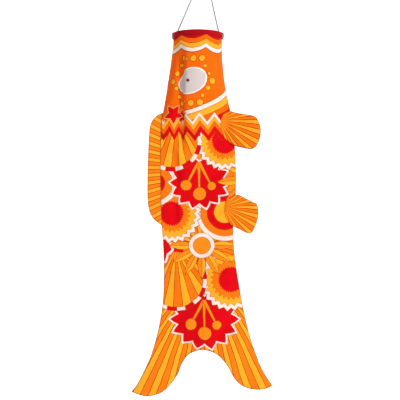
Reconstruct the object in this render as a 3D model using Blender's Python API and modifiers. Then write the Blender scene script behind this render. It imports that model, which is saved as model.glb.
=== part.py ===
"""Carp streamer: an open fabric tube with a hooped mouth, sewn-on fins and a forked tail,
hung from a two-leg cord bridle.

Frame: metres, +Z up. The origin is the inside of the top of the hanging loop, where a hook
bears. The back of the fish looks along -X, its belly along +X, and the near flank along -Y.

Lengths below are in millimetres unless a name ends in _M. Places on the fish are given as
(x, d): x from the middle of the mouth towards the belly, d down from the top of the mouth.
"""

import math

import bmesh
import bpy
from mathutils import Matrix, Vector

# ---------------------------------------------------------------- driving dimensions
MM = 0.001
MOUTH_X = -20.0  # the middle of the mouth, from the line below the hook
MOUTH_Z = -212.0  # the top of the mouth's hem, below the hook

CLOTH = 0.8  # thickness that stands for one layer of cloth
FIN_CLOTH = 1.0  # the fins are two layers sewn together
SEAM_HALF_GAP = 0.6  # from the middle plane to the middle of either flank at a seam
TUBE_R = 66.0  # the tube just under the hem; its girth stays the same down to the belly

HEM_HALF_W = 3.5
HEM_WALL = 0.9
HEM_DEPTH = 14.0
HEM_FOOT_CLEAR = 0.6  # from a flank's face to the hem's foot on either side of it
HOOP_D = 3.5  # the hoop's depth inside the hem
HOOP_WIRE_R = 1.3
HOOP_GAP_DEG = 0.8
FERRULE_R = 2.1
FERRULE_BORE_R = 1.65
FERRULE_LENGTH = 12.0
FERRULE_AT_DEG = -14.0
FLANK_TOP_D = 7.2  # how far up into the hem the flanks reach

CORD_R = 1.5
HITCH_CORD_R = 1.1
HITCH_CLEAR = 0.35
HITCH_KNOT_R = 2.6
HITCH_KNOT_AT = 59.4
EYELET_R = 1.6
APEX_KNOT_Z = -26.0
APEX_KNOT_R = (5.0, 4.5, 6.5)
LEG_SAG = 1.2  # how far a leg bows inwards
LOOP_HALF_W = 6.5
TOUCH = 0.3  # the gap kept where two pieces meet

HINGE_GAP = 3.0
FLEX_UPPER_D = 578.0  # where the tube bends below the fins
FLEX_LOWER_D = 740.0  # where it bends above the fork

# the tube's sides and half depth at stations down the fish: d, back side, belly side, depth
STATIONS = (
    (0, -66.0, 66.0, 66.0),
    (22, -66.0, 65.4, 66.2),
    (60, -70.0, 66.0, 64.5),
    (104, -76.0, 69.5, 59.0),
    (162, -85.0, 77.0, 49.0),
    (212, -93.5, 88.0, 35.0),
    (253, -101.0, 95.0, 23.5),
    (322, -103.0, 101.7, 13.0),
    (405, -102.5, 104.5, 8.5),
    (474, -101.0, 102.0, 6.5),
    (529, -98.5, 96.5, 4.6),
    (578, -94.5, 97.5, 1.2),
    (615, -93.0, 101.0, 3.6),
    (653, -92.0, 106.0, 4.4),
    (695, -92.5, 113.0, 3.8),
    (740, -95.0, 120.5, 1.2),
    (805, -105.0, 136.5, 4.0),
    (888, -127.5, 164.0, 4.6),
    (973, -169.0, 204.0, 3.4),
    (989, -182.0, 204.0, 3.2),
)
TAIL_BACK_TIP_D = 989.0
TAIL_BELLY_TIP_D = 973.0
# the forked end from the back tip to the belly tip
TAIL_END = (
    (-182, 989),
    (-146, 1000),
    (-104, 989),
    (-74, 962),
    (-50, 915),
    (-28, 885),
    (10, 873),
    (48, 877),
    (76, 903),
    (98, 943),
    (130, 973),
    (172, 981),
    (204, 973),
)

# fins: the sewn line and the free edge, both as (x, d)
DORSAL_BASE = ((-105.6, 228), (-105.6, 524))
DORSAL_EDGE = (
    (-105.6, 228),
    (-124, 238),
    (-132, 262),
    (-134.5, 300),
    (-137.5, 370),
    (-138, 430),
    (-136, 474),
    (-128, 500),
    (-118, 516),
    (-105.6, 524),
)
PECTORAL_BASE = ((66, 234), (83, 300))
PECTORAL_BASE_Y = (22.5, 13.5)
PECTORAL_EDGE = (
    (66, 234),
    (76, 222),
    (92, 218.5),
    (122, 225),
    (150, 230),
    (166, 246),
    (172, 272),
    (166, 301),
    (149, 318),
    (120, 314),
    (100, 308),
    (83, 300),
)
PELVIC_BASE = ((79, 462), (85, 524))
PELVIC_BASE_Y = (8.6, 8.6)
PELVIC_EDGE = (
    (79, 462),
    (93, 452),
    (110, 447),
    (135, 458),
    (160, 470),
    (166, 492),
    (162, 521),
    (151, 545),
    (140, 551),
    (118, 541),
    (100, 533),
    (85, 524),
)

COLOURS = {
    "cord": ((0.56, 0.52, 0.47), 0.85, 0.0),
    "hoop": ((0.78, 0.76, 0.70), 0.35, 0.0),
    "ferrule": ((0.70, 0.71, 0.73), 0.30, 1.0),
    "hem": ((0.42, 0.004, 0.012), 0.75, 0.0),
    "print": ((0.95, 0.22, 0.008), 0.80, 0.0),
    "fin": ((0.95, 0.34, 0.010), 0.80, 0.0),
}


# ---------------------------------------------------------------- small helpers
def fish(x, d, y=0.0):
    """A place on the fish, in metres."""
    return Vector(((MOUTH_X + x) * MM, y * MM, (MOUTH_Z - d) * MM))


def smooth_through(pairs, at):
    """A monotone cubic through (t, value) pairs, read at one t."""
    n = len(pairs)
    slopes = [
        (pairs[i + 1][1] - pairs[i][1]) / (pairs[i + 1][0] - pairs[i][0])
        for i in range(n - 1)
    ]
    tangents = [slopes[0]]
    for i in range(1, n - 1):
        a, b = slopes[i - 1], slopes[i]
        tangents.append(0.0 if a * b <= 0 else 2 * a * b / (a + b))
    tangents.append(slopes[-1])
    at = min(max(at, pairs[0][0]), pairs[-1][0])
    i = max(k for k in range(n - 1) if pairs[k][0] <= at)
    h = pairs[i + 1][0] - pairs[i][0]
    t = (at - pairs[i][0]) / h
    return (
        (2 * t**3 - 3 * t**2 + 1) * pairs[i][1]
        + (t**3 - 2 * t**2 + t) * h * tangents[i]
        + (-2 * t**3 + 3 * t**2) * pairs[i + 1][1]
        + (t**3 - t**2) * h * tangents[i + 1]
    )


def curve_through(points, per_span):
    """Points along a Catmull-Rom curve through the given (x, d) points."""
    ends = (
        [tuple(2 * a - b for a, b in zip(points[0], points[1]))]
        + list(points)
        + [tuple(2 * a - b for a, b in zip(points[-1], points[-2]))]
    )
    made = []
    for i in range(1, len(ends) - 2):
        p0, p1, p2, p3 = ends[i - 1 : i + 3]
        for k in range(per_span):
            t = k / per_span
            made.append(
                tuple(
                    0.5
                    * (
                        2 * b
                        + (c - a) * t
                        + (2 * a - 5 * b + 4 * c - d) * t**2
                        + (3 * b - a - 3 * c + d) * t**3
                    )
                    for a, b, c, d in zip(p0, p1, p2, p3)
                )
            )
    made.append(tuple(points[-1]))
    return made


def back_side(d):
    return smooth_through([(s[0], s[1]) for s in STATIONS], d)


def belly_side(d):
    return smooth_through([(s[0], s[2]) for s in STATIONS], d)


def half_depth(d):
    return smooth_through([(s[0], s[3]) for s in STATIONS], d)


def tail_end_at(share):
    """The forked end's (x, d) at a share of its length from the back tip."""
    line = curve_through(TAIL_END, 6)
    run = [0.0]
    for a, b in zip(line, line[1:]):
        run.append(run[-1] + math.hypot(b[0] - a[0], b[1] - a[1]))
    want = share * run[-1]
    i = max(k for k in range(len(line) - 1) if run[k] <= want)
    t = (want - run[i]) / (run[i + 1] - run[i])
    return tuple(a + t * (b - a) for a, b in zip(line[i], line[i + 1]))


# ---------------------------------------------------------------- start clean
for old in list(bpy.data.objects):
    bpy.data.objects.remove(old, do_unlink=True)

parts = bpy.data.collections.new("carp_streamer")
cutters = bpy.data.collections.new("cutters")
bpy.context.scene.collection.children.link(parts)
bpy.context.scene.collection.children.link(cutters)


def material_for(name, look):
    colour, roughness, metallic = COLOURS[look]
    m = bpy.data.materials.new(name + "_material")
    m.use_nodes = True
    shader = m.node_tree.nodes["Principled BSDF"]
    shader.inputs["Base Color"].default_value = (*colour, 1.0)
    shader.inputs["Roughness"].default_value = roughness
    shader.inputs["Metallic"].default_value = metallic
    m.diffuse_color = (*colour, 1.0)
    return m


def keep(obj, look, parent=None):
    """Puts a finished piece in the streamer's collection with its own material."""
    for c in list(obj.users_collection):
        c.objects.unlink(obj)
    parts.objects.link(obj)
    obj.data.materials.clear()
    obj.data.materials.append(material_for(obj.name, look))
    if parent is not None:
        obj.parent = parent
        obj.matrix_parent_inverse = parent.matrix_world.inverted()
    return obj


def joint_empty(name, place):
    e = bpy.data.objects.new(name, None)
    e.empty_display_size = 0.03
    e.location = place
    parts.objects.link(e)
    bpy.context.view_layer.update()
    return e


def tube(name, points, radius, closed=False, sides=2):
    """A cord or wire through points in metres."""
    data = bpy.data.curves.new(name, "CURVE")
    data.dimensions = "3D"
    data.bevel_depth = radius * MM
    data.bevel_resolution = sides
    data.use_fill_caps = True
    line = data.splines.new("POLY")
    line.points.add(len(points) - 1)
    for p, at in zip(line.points, points):
        p.co = (*at, 1.0)
    line.use_cyclic_u = closed
    obj = bpy.data.objects.new(name, data)
    bpy.context.scene.collection.objects.link(obj)
    return obj


def as_mesh(obj):
    """The same shape as a mesh object, its caps welded."""
    bpy.context.view_layer.update()
    made = bpy.data.meshes.new_from_object(
        obj.evaluated_get(bpy.context.evaluated_depsgraph_get())
    )
    name = obj.name
    matrix = obj.matrix_world.copy()
    bpy.data.objects.remove(obj, do_unlink=True)
    bm = bmesh.new()
    bm.from_mesh(made)
    bmesh.ops.remove_doubles(bm, verts=bm.verts, dist=0.00001)
    bmesh.ops.recalc_face_normals(bm, faces=bm.faces)
    bm.to_mesh(made)
    bm.free()
    new = bpy.data.objects.new(name, made)
    new.matrix_world = matrix
    bpy.context.scene.collection.objects.link(new)
    return new


def guide(obj):
    """Marks an object as a cutter, which isn't part of the streamer."""
    for c in list(obj.users_collection):
        c.objects.unlink(obj)
    cutters.objects.link(obj)
    obj.hide_render = True
    obj.display_type = "WIRE"
    return obj


def boolean(obj, other, operation):
    m = obj.modifiers.new(operation.lower(), "BOOLEAN")
    m.operation = operation
    m.solver = "EXACT"
    m.object = other
    return m


def ball(name, place, radii, segments=14, rings=8):
    bpy.ops.mesh.primitive_uv_sphere_add(
        segments=segments, ring_count=rings, radius=1.0, location=place
    )
    obj = bpy.context.active_object
    obj.name = name
    obj.data.transform(Matrix.Diagonal((*(r * MM for r in radii), 1.0)))
    obj.data.shade_smooth()
    return obj


# ---------------------------------------------------------------- joint frames
mouth_axis = fish(0, HOOP_D)
mouth = joint_empty("mouth_tilt_axis", mouth_axis)
middle = joint_empty("upper_flex_axis", fish(0, FLEX_UPPER_D))
middle.parent = mouth
middle.matrix_parent_inverse = mouth.matrix_world.inverted()
tail = joint_empty("lower_flex_axis", fish(0, FLEX_LOWER_D))
bpy.context.view_layer.update()
tail.parent = middle
tail.matrix_parent_inverse = middle.matrix_world.inverted()
bpy.context.view_layer.update()


# ---------------------------------------------------------------- bridle
apex = Vector((0.0, 0.0, APEX_KNOT_Z * MM))


def leg(name, side):
    """One leg of the bridle, from its knot at the mouth up to the knot at the top."""
    low = fish(side * HITCH_KNOT_AT, HOOP_D)
    along = (apex - low).normalized()
    inwards = Vector((-side, 0.0, 0.0))
    reach = 1.0 / math.sqrt(
        sum((c / (r * MM)) ** 2 for c, r in zip(along, APEX_KNOT_R))
    )
    start = low + along * (HITCH_KNOT_R + TOUCH + 0.4) * MM
    end = apex - along * (reach + TOUCH * MM)
    n = max(8, int((end - start).length / (3 * 2 * CORD_R * MM)))
    points = []
    for i in range(n + 1):
        t = i / n
        points.append(
            start.lerp(end, t) + inwards * (LEG_SAG * MM * 4 * t * (1 - t))
        )
    return keep(tube(name, points, CORD_R), "cord")


leg("bridle_cord_left", -1)
leg("bridle_cord_right", 1)
keep(ball("apex_knot", apex, APEX_KNOT_R), "cord")

loop_low = APEX_KNOT_Z + APEX_KNOT_R[2] + TOUCH + CORD_R
loop_points = []
for i in range(22):
    a = 2 * math.pi * i / 22
    high = 0.5 * (1 - math.cos(a))
    loop_points.append(
        Vector(
            (
                LOOP_HALF_W * math.sin(a) * (0.55 + 0.45 * high) * MM,
                0.0,
                (loop_low + (CORD_R - loop_low) * high) * MM,
            )
        )
    )
keep(tube("hanging_loop", loop_points, CORD_R, closed=True), "cord")


# ---------------------------------------------------------------- the mouth's hem and hoop
def hem_profile():
    """The hem's section as (out from the hoop, d): a folded band open at its lower edge."""
    w, wall, r = HEM_HALF_W, HEM_WALL, HEM_HALF_W - HEM_WALL
    foot_in = CLOTH / 2 + HEM_FOOT_CLEAR
    foot_out = foot_in + wall
    outer = [(foot_out, HEM_DEPTH), (w - 0.25, HEM_DEPTH - 4.0)]
    outer += [
        (w * math.cos(math.pi * k / 8), HOOP_D - w * math.sin(math.pi * k / 8))
        for k in range(9)
    ]
    outer += [(-w + 0.25, HEM_DEPTH - 4.0), (-foot_out, HEM_DEPTH)]
    inner = [(-foot_in, HEM_DEPTH), (-r + 0.25, HEM_DEPTH - 4.0)]
    inner += [
        (-r * math.cos(math.pi * k / 6), HOOP_D - r * math.sin(math.pi * k / 6))
        for k in range(7)
    ]
    inner += [(r - 0.25, HEM_DEPTH - 4.0), (foot_in, HEM_DEPTH)]
    return outer + inner


def turned(name, profile, steps, place):
    """A closed (radius, z) profile turned once round Z, in millimetres."""
    data = bpy.data.meshes.new(name)
    bm = bmesh.new()
    around = [bm.verts.new((r * MM, 0.0, z * MM)) for r, z in profile]
    for a, b in zip(around, around[1:] + around[:1]):
        bm.edges.new((a, b))
    bm.to_mesh(data)
    bm.free()
    obj = bpy.data.objects.new(name, data)
    obj.location = place
    bpy.context.scene.collection.objects.link(obj)
    m = obj.modifiers.new("turn", "SCREW")
    m.axis = "Z"
    m.angle = 2 * math.pi
    m.steps = m.render_steps = steps
    m.use_merge_vertices = True
    m.merge_threshold = 0.00001
    m.use_smooth_shade = True
    return obj


profile = [(TUBE_R + out, -(d - HOOP_D)) for out, d in hem_profile()]
keep(turned("mouth_binding", profile[::-1], 42, mouth_axis), "hem", mouth)


def around_mouth(deg, r=TUBE_R, d=HOOP_D):
    a = math.radians(deg)
    return fish(r * math.cos(a), d, r * math.sin(a))


start_deg = FERRULE_AT_DEG + HOOP_GAP_DEG / 2
span = 360.0 - HOOP_GAP_DEG
keep(
    tube(
        "mouth_hoop",
        [around_mouth(start_deg + span * i / 54) for i in range(55)],
        HOOP_WIRE_R,
    ),
    "hoop",
    mouth,
)
half = math.degrees(FERRULE_LENGTH / 2 / TUBE_R)
bore = guide(
    as_mesh(
        tube(
            "ferrule_bore",
            [
                around_mouth(FERRULE_AT_DEG - 1.5 * half + 3 * half * i / 8)
                for i in range(9)
            ],
            FERRULE_BORE_R,
            sides=4,
        )
    )
)
ferrule = as_mesh(
    tube(
        "hoop_ferrule",
        [around_mouth(FERRULE_AT_DEG - half + 2 * half * i / 6) for i in range(7)],
        FERRULE_R,
        sides=4,
    )
)
boolean(ferrule, bore, "DIFFERENCE")
keep(ferrule, "ferrule", mouth)


# ---------------------------------------------------------------- hitches round the hem
def hitch(name, side):
    """A loop of cord round the hem with its knot inside the mouth."""
    wide = HEM_HALF_W + HITCH_CLEAR + HITCH_CORD_R
    foot = CLOTH / 2 + HEM_FOOT_CLEAR + HEM_WALL + HITCH_CLEAR + HITCH_CORD_R
    section = [
        (wide * math.cos(math.pi * k / 8), HOOP_D - wide * math.sin(math.pi * k / 8))
        for k in range(9)
    ]
    section += [(-wide + 0.2, HEM_DEPTH - 4.4)]
    section += [
        (
            -foot * math.cos(math.pi * k / 6),
            HEM_DEPTH + 0.2 + (HITCH_CLEAR + HITCH_CORD_R + 0.9) * math.sin(math.pi * k / 6),
        )
        for k in range(7)
    ]
    section += [(wide - 0.2, HEM_DEPTH - 4.4)]
    line = [fish(side * (TUBE_R + out), d) for out, d in section]
    loop = as_mesh(tube(name, line, HITCH_CORD_R, closed=True))
    knot = guide(
        ball(
            name + "_knot",
            fish(side * HITCH_KNOT_AT, HOOP_D),
            (HITCH_KNOT_R, HITCH_KNOT_R, HITCH_KNOT_R),
            10,
            6,
        )
    )
    boolean(loop, knot, "UNION")
    return keep(loop, "cord", mouth)


hitch("cord_hitch_left", -1)
hitch("cord_hitch_right", 1)

eyelets = []
for side in (-1, 1):
    bpy.ops.mesh.primitive_cylinder_add(
        vertices=16,
        radius=EYELET_R * MM,
        depth=12.0 * MM,
        location=fish(
            side * TUBE_R, HEM_DEPTH + 0.2 + HITCH_CLEAR + HITCH_CORD_R + 0.9
        ),
        rotation=(0.0, math.pi / 2, 0.0),
    )
    bpy.context.active_object.name = "eyelet_" + ("right" if side > 0 else "left")
    eyelets.append(guide(bpy.context.active_object))


# ---------------------------------------------------------------- the flanks
def section_point(share, d):
    """(x, out) on a flank at a share from the back seam to the belly seam."""
    back, belly, deep = back_side(d), belly_side(d), half_depth(d)
    round_share = min(1.0, deep / TUBE_R * 2.2)
    a = math.pi * share
    middle_x, half_w = (back + belly) / 2, (belly - back) / 2
    even = -math.cos(a)
    straight = 2 * share - 1
    along = round_share * even + (1 - round_share) * straight
    out = (
        math.sqrt(max(0.0, 1 - along * along)) * round_share
        + (1 - along * along) * (1 - round_share)
    )
    return middle_x + half_w * along, (deep - SEAM_HALF_GAP) * out


def tail_point(share, t, top):
    """(x, d, out) in the tail: straight lines from its top edge to the forked end, bent
    sideways so that the outer two follow the tail's sides."""
    straight = section_point(share, top)[0]
    end = tail_end_at(share)
    x = straight + (end[0] - straight) * t
    d = top + (end[1] - top) * t
    for side_of, tip_d, near in (
        (back_side, TAIL_BACK_TIP_D, 1 - share),
        (belly_side, TAIL_BELLY_TIP_D, share),
    ):
        side_d = top + (tip_d - top) * t
        bow = side_of(side_d) - (
            side_of(top) + (side_of(tip_d) - side_of(top)) * t
        )
        x += bow * near**1.5
    return x, d, section_point(share, top + (TAIL_BELLY_TIP_D - top) * t)[1]


def flank(name, side, top, bottom, rows, columns, parent, forked=False):
    """One length of a flank, a lofted sheet thickened to one layer of cloth.

    side is -1 for the near flank and 1 for the far one."""
    origin = parent.matrix_world.translation
    bm = bmesh.new()
    grid = []
    for i in range(rows + 1):
        t = i / rows
        line = []
        for j in range(columns + 1):
            share = j / columns
            if not forked:
                d = top + (bottom - top) * t
                x, out = section_point(share, d)
            else:
                x, d, out = tail_point(share, t, top)
            line.append(
                bm.verts.new(fish(x, d, side * (out + SEAM_HALF_GAP)) - origin)
            )
        grid.append(line)
    for i in range(rows):
        for j in range(columns):
            face = [
                grid[i][j],
                grid[i + 1][j],
                grid[i + 1][j + 1],
                grid[i][j + 1],
            ]
            bm.faces.new(face if side < 0 else face[::-1])
    data = bpy.data.meshes.new(name)
    bm.to_mesh(data)
    bm.free()
    obj = bpy.data.objects.new(name, data)
    obj.location = origin
    bpy.context.scene.collection.objects.link(obj)
    data.shade_smooth()
    m = obj.modifiers.new("cloth", "SOLIDIFY")
    m.thickness = CLOTH * MM
    m.offset = 0.0
    bpy.context.view_layer.update()
    keep(obj, "print", parent)
    return obj


for side, word in ((-1, "near"), (1, "far")):
    upper = flank(
        word + "_flank_upper",
        side,
        FLANK_TOP_D,
        FLEX_UPPER_D - HINGE_GAP / 2,
        22,
        16,
        mouth,
    )
    for cutter in eyelets:
        boolean(upper, cutter, "DIFFERENCE")
    flank(
        word + "_flank_middle",
        side,
        FLEX_UPPER_D + HINGE_GAP / 2,
        FLEX_LOWER_D - HINGE_GAP / 2,
        5,
        12,
        middle,
    )
    flank(
        word + "_flank_tail",
        side,
        FLEX_LOWER_D + HINGE_GAP / 2,
        0,
        8,
        24,
        tail,
        True,
    )


# ---------------------------------------------------------------- the fins
def fin(name, base, base_y, edge, side, per_span=3):
    """A flat fin whose straight sewn line lies on its hinge.

    side is -1 or 1 for a fin standing off a flank, and 0 for one in the middle plane."""
    top = fish(*base[0], side * base_y[0])
    low = fish(*base[1], side * base_y[1])
    down = (low - top).normalized()
    across = Vector((1.0, 0.0, 0.0))
    across = (across - down * across.dot(down)).normalized()
    hinge = bpy.data.objects.new(name + "_hinge", None)
    hinge.empty_display_size = 0.02
    parts.objects.link(hinge)
    normal = across.cross(down)
    turn = Matrix((across, down, normal)).transposed().to_4x4()
    hinge.matrix_world = Matrix.Translation(top) @ turn
    bpy.context.view_layer.update()

    data = bpy.data.curves.new(name, "CURVE")
    data.dimensions = "2D"
    data.fill_mode = "BOTH"
    data.extrude = FIN_CLOTH / 2 * MM
    outline = curve_through(edge, per_span)
    line = data.splines.new("POLY")
    line.points.add(len(outline) - 1)
    spread = across.x * down.z - across.z * down.x
    for p, (x, d) in zip(line.points, outline):
        flat = fish(x, d) - fish(*base[0])
        # the place in the fin's own plane that lies in front of (x, d)
        u = (flat.x * down.z - flat.z * down.x) / spread
        v = (across.x * flat.z - across.z * flat.x) / spread
        p.co = (u, v, 0.0, 1.0)
    line.use_cyclic_u = True
    obj = bpy.data.objects.new(name, data)
    bpy.context.scene.collection.objects.link(obj)
    obj = as_mesh(obj)
    obj.matrix_world = hinge.matrix_world.copy()
    bpy.context.view_layer.update()
    keep(obj, "fin", hinge)
    hinge.parent = mouth
    hinge.matrix_parent_inverse = mouth.matrix_world.inverted()
    return obj


fin("dorsal_fin", DORSAL_BASE, (0.0, 0.0), DORSAL_EDGE, 0)
for side, word in ((-1, "near"), (1, "far")):
    fin("pectoral_fin_" + word, PECTORAL_BASE, PECTORAL_BASE_Y, PECTORAL_EDGE, side)
    fin("pelvic_fin_" + word, PELVIC_BASE, PELVIC_BASE_Y, PELVIC_EDGE, side)

bpy.context.view_layer.update()
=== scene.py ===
"""The looks of the carp streamer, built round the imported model."""

import math

import bmesh
import bpy
import numpy as np
from mathutils import Matrix, Vector, noise
from mathutils.geometry import delaunay_2d_cdt


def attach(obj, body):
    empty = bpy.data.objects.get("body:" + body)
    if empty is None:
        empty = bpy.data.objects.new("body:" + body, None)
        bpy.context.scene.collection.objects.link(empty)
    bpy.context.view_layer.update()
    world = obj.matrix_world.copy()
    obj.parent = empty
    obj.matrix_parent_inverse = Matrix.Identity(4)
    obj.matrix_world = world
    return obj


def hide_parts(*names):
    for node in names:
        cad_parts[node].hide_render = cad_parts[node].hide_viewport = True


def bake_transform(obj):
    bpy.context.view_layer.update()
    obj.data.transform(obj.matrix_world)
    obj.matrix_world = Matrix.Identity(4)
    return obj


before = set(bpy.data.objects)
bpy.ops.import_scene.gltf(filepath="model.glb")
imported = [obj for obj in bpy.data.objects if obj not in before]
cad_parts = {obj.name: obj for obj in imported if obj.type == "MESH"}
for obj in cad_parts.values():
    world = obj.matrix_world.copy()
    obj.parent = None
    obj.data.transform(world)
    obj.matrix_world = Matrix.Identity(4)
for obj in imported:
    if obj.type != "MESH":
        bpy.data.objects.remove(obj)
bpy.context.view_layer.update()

# ------------------------------------------------------------------ places and sizes
MM = 0.001
MOUTH_X, MOUTH_Z = -20.0, -212.0
TUBE_R, HOOP_D = 66.0, 3.5
HEM_HALF_W, HEM_DEPTH = 3.5, 14.0
CORD_R = 1.5
UNIT = 2.76  # one unit of the print, in millimetres
SPLIT_D = 659.0  # the flanks are cut here, in the middle length, between the two bends
FLEX_UPPER_D, FLEX_LOWER_D = 578.0, 740.0

# d down the fish, back side, belly side, half depth of the hanging cloth
STATIONS = np.array(
    (
        (0, -66.0, 66.0, 66.0),
        (22, -66.0, 65.4, 66.2),
        (60, -70.0, 66.0, 64.5),
        (104, -76.0, 69.5, 59.0),
        (162, -85.0, 77.0, 49.0),
        (212, -93.5, 88.0, 35.0),
        (253, -101.0, 95.0, 23.5),
        (322, -103.0, 101.7, 13.0),
        (405, -102.5, 104.5, 8.5),
        (474, -101.0, 102.0, 6.8),
        (529, -98.5, 96.5, 5.6),
        (578, -94.5, 97.5, 4.8),
        (615, -93.0, 101.0, 4.6),
        (653, -92.0, 106.0, 4.6),
        (695, -92.5, 113.0, 4.4),
        (740, -95.0, 120.5, 4.2),
        (805, -105.0, 136.5, 4.4),
        (888, -127.5, 162.8, 4.6),
        (918, -140.5, 173.4, 4.2),
        (942, -152.0, 185.0, 3.9),
        (962, -162.5, 197.6, 3.6),
        (973, -169.0, 204.0, 3.4),
        (989, -182.0, 204.0, 3.2),
    )
)
TAIL_BACK_TIP_D, TAIL_BELLY_TIP_D = 989.0, 973.0
TAIL_END = (
    (-182, 989),
    (-146, 1000),
    (-118, 996.5),
    (-94, 985),
    (-71, 962),
    (-55, 938),
    (-47, 916),
    (-31, 891),
    (-10, 878),
    (12, 872.5),
    (34, 875.5),
    (54, 885),
    (70, 900),
    (84, 918),
    (96, 941),
    (108, 959),
    (125, 973),
    (143, 980),
    (168, 983),
    (190, 980.5),
    (204, 973),
)
SEAM_GAP = 0.7


def fish(x, d, y=0.0):
    return Vector(((MOUTH_X + x) * MM, y * MM, (MOUTH_Z - d) * MM))


def monotone(ts, values, at):
    """A monotone cubic through points, read at an array of t."""
    ts, values = np.asarray(ts, float), np.asarray(values, float)
    at = np.clip(np.asarray(at, float), ts[0], ts[-1])
    slope = np.diff(values) / np.diff(ts)
    tangent = np.empty(len(ts))
    tangent[0], tangent[-1] = slope[0], slope[-1]
    a, b = slope[:-1], slope[1:]
    with np.errstate(divide="ignore", invalid="ignore"):
        mean = np.where(a * b > 0, 2 * a * b / (a + b), 0.0)
    tangent[1:-1] = mean
    i = np.clip(np.searchsorted(ts, at, side="right") - 1, 0, len(ts) - 2)
    h = ts[i + 1] - ts[i]
    t = (at - ts[i]) / h
    return (
        (2 * t**3 - 3 * t**2 + 1) * values[i]
        + (t**3 - 2 * t**2 + t) * h * tangent[i]
        + (-2 * t**3 + 3 * t**2) * values[i + 1]
        + (t**3 - t**2) * h * tangent[i + 1]
    )


def back_side(d):
    return monotone(STATIONS[:, 0], STATIONS[:, 1], d)


def belly_side(d):
    return monotone(STATIONS[:, 0], STATIONS[:, 2], d)


def half_depth(d):
    return monotone(STATIONS[:, 0], STATIONS[:, 3], d)


def smooth(a, b, x):
    t = np.clip((np.asarray(x, float) - a) / (b - a), 0, 1)
    return t * t * (3 - 2 * t)


def curve_through(points, per_span):
    """Points along a Catmull-Rom curve through the given points."""
    p = np.asarray(points, float)
    p = np.vstack([2 * p[0] - p[1], p, 2 * p[-1] - p[-2]])
    made = []
    for i in range(1, len(p) - 2):
        a, b, c, e = p[i - 1 : i + 3]
        for k in range(per_span):
            t = k / per_span
            made.append(
                0.5
                * (
                    2 * b
                    + (c - a) * t
                    + (2 * a - 5 * b + 4 * c - e) * t**2
                    + (3 * b - a - 3 * c + e) * t**3
                )
            )
    made.append(p[-2])
    return np.array(made)


def run_of(line):
    return np.concatenate(
        [[0], np.cumsum(np.linalg.norm(np.diff(line, axis=0), axis=1))]
    )


def respaced(line, n):
    """The same line as n + 1 evenly spaced points."""
    run = run_of(line)
    at = np.linspace(0, run[-1], n + 1)
    return np.stack([np.interp(at, run, line[:, k]) for k in range(line.shape[1])], 1)


# ------------------------------------------------------------------ camera
sc = bpy.context.scene
cam_data = bpy.data.cameras.new("camera")
cam = bpy.data.objects.new("camera", cam_data)
sc.collection.objects.link(cam)
cam_data.sensor_width = 36.0
cam_data.lens = 36.0 / 2 / math.tan(math.radians(23.4) / 2)
cam.location = (-0.0138, -2.665, -0.672)
cam.rotation_euler = (math.radians(90), 0, 0)
cam_data.clip_end = 60
sc.camera = cam
sc.view_settings.view_transform = "Standard"
sc.view_settings.look = "None"


# ------------------------------------------------------------------ shader maths
class V:
    """A float in a node tree that Python's operators work on."""

    def __init__(self, net, socket):
        self.net, self.s = net, socket

    def __add__(self, o):
        return self.net.m("ADD", self, o)

    __radd__ = __add__

    def __sub__(self, o):
        return self.net.m("SUBTRACT", self, o)

    def __rsub__(self, o):
        return self.net.m("SUBTRACT", o, self)

    def __mul__(self, o):
        return self.net.m("MULTIPLY", self, o)

    __rmul__ = __mul__

    def __truediv__(self, o):
        return self.net.m("DIVIDE", self, o)

    def __lt__(self, o):
        return self.net.m("LESS_THAN", self, o)

    def __gt__(self, o):
        return self.net.m("GREATER_THAN", self, o)

    def __abs__(self):
        return self.net.m("ABSOLUTE", self)


class Net:
    """Makes nodes in the order that they are used in, so that few values wait at a time."""

    def __init__(self, tree):
        self.tree = tree

    def put(self, value, socket):
        if isinstance(value, V):
            self.tree.links.new(value.s, socket)
        elif isinstance(value, bpy.types.NodeSocket):
            self.tree.links.new(value, socket)
        else:
            socket.default_value = value

    def node(self, kind, **settings):
        n = self.tree.nodes.new(kind)
        for k, v in settings.items():
            setattr(n, k, v)
        return n

    def m(self, op, *values):
        n = self.node("ShaderNodeMath", operation=op)
        for v, socket in zip(values, n.inputs):
            self.put(v if isinstance(v, V) else float(v), socket)
        return V(self, n.outputs[0])

    def fract(self, v):
        return self.m("FRACT", v)

    def tri(self, v):
        """A triangle wave from 0 at whole numbers to 1 half way between them."""
        return self.m("PINGPONG", v, 0.5) * 2.0

    def low(self, a, b):
        return self.m("MINIMUM", a, b)

    def high(self, a, b):
        return self.m("MAXIMUM", a, b)

    def length(self, a, b):
        return self.m("SQRT", self.m("MULTIPLY_ADD", a, a, b * b))

    def mix(self, factor, a, b):
        n = self.node("ShaderNodeMix", data_type="RGBA", clamp_factor=True)
        self.put(factor, n.inputs["Factor"])
        sockets = [s for s in n.inputs if s.type == "RGBA"]
        for value, socket in zip((a, b), sockets):
            self.put(value, socket)
        return next(s for s in n.outputs if s.type == "RGBA")

    def ramp(self, value, stops, scale):
        """Flat bands of colour: stops is (where, colour), where in the value's own units."""
        n = self.node("ShaderNodeValToRGB")
        n.color_ramp.interpolation = "CONSTANT"
        elements = n.color_ramp.elements
        while len(elements) > 1:
            elements.remove(elements[0])
        elements[0].position = 0.0
        elements[0].color = stops[0][1]
        for where, colour in stops[1:]:
            e = elements.new(min(1.0, max(0.0, where / scale)))
            e.color = colour
        self.put(value / scale, n.inputs[0])
        return n.outputs[0]


def srgb(r, g, b, k=1.0):
    def lin(c):
        c /= 255.0
        return (c / 12.92 if c <= 0.04045 else ((c + 0.055) / 1.055) ** 2.4) * k

    return (lin(r), lin(g), lin(b), 1.0)


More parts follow.
